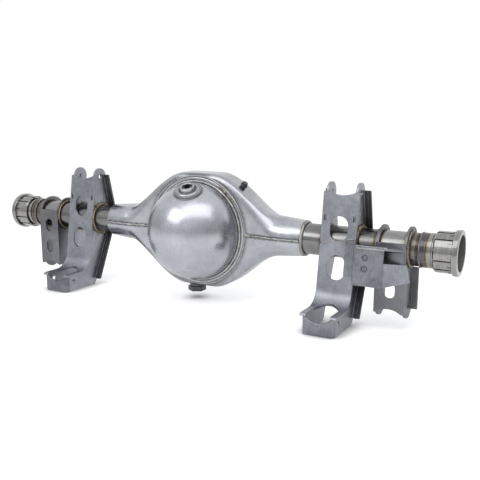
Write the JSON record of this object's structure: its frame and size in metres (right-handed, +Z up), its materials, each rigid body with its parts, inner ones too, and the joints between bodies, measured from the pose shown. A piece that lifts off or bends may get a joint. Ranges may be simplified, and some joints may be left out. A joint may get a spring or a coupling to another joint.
{
  "type": "axle housing",
  "caption": "Bare steel rear axle housing with a domed centre section, an open carrier face, axle tubes, bearing collars and welded suspension brackets.",
  "frame": {"origin": "on the axle line, half way between the two ends", "axes": "+X along the axle to its right end, +Y towards the open carrier face, +Z up"},
  "size_m": [1.324, 0.243, 0.337],
  "materials": {
    "shell_steel": "bare pressed steel, satin",
    "dome_steel": "polished by hand, soft streaks",
    "tube_steel": "drawn tube, bright",
    "collar_steel": "turned, bright",
    "plate_steel": "bare plate, blasted",
    "stud_steel": "plain",
    "plug_steel": "black oxide",
    "weld": "weld bead with heat tint"
  },
  "bodies": {
    "root": {"upper_shell": "shell_steel", "lower_shell": "shell_steel", "rear_ring": "shell_steel", "rear_dome": "dome_steel", "dome_weld": "weld", "carrier_ring": "shell_steel", "carrier_studs": "stud_steel", "fill_bung": "dome_steel", "fill_plug": "plug_steel", "drain_bung": "plug_steel", "drain_plug": "plug_steel", "vent_fitting": "stud_steel", "left_axle_tube": "tube_steel", "right_axle_tube": "tube_steel", "left_end_collar": "collar_steel", "right_end_collar": "collar_steel", "left_link_face": "plate_steel", "left_link_inner_cheek": "plate_steel", "left_link_outer_cheek": "plate_steel", "left_coil_cup": "plate_steel", "right_link_face": "plate_steel", "right_link_inner_cheek": "plate_steel", "right_link_outer_cheek": "plate_steel", "right_coil_cup": "plate_steel", "left_arm_bracket": "plate_steel", "right_arm_bracket": "plate_steel", "track_bar_bracket": "plate_steel", "track_bar_top": "plate_steel", "arm_end_welds": "weld", "link_welds": "weld", "arm_welds": "weld", "collar_welds": "weld"}
  },
  "joints": []
}
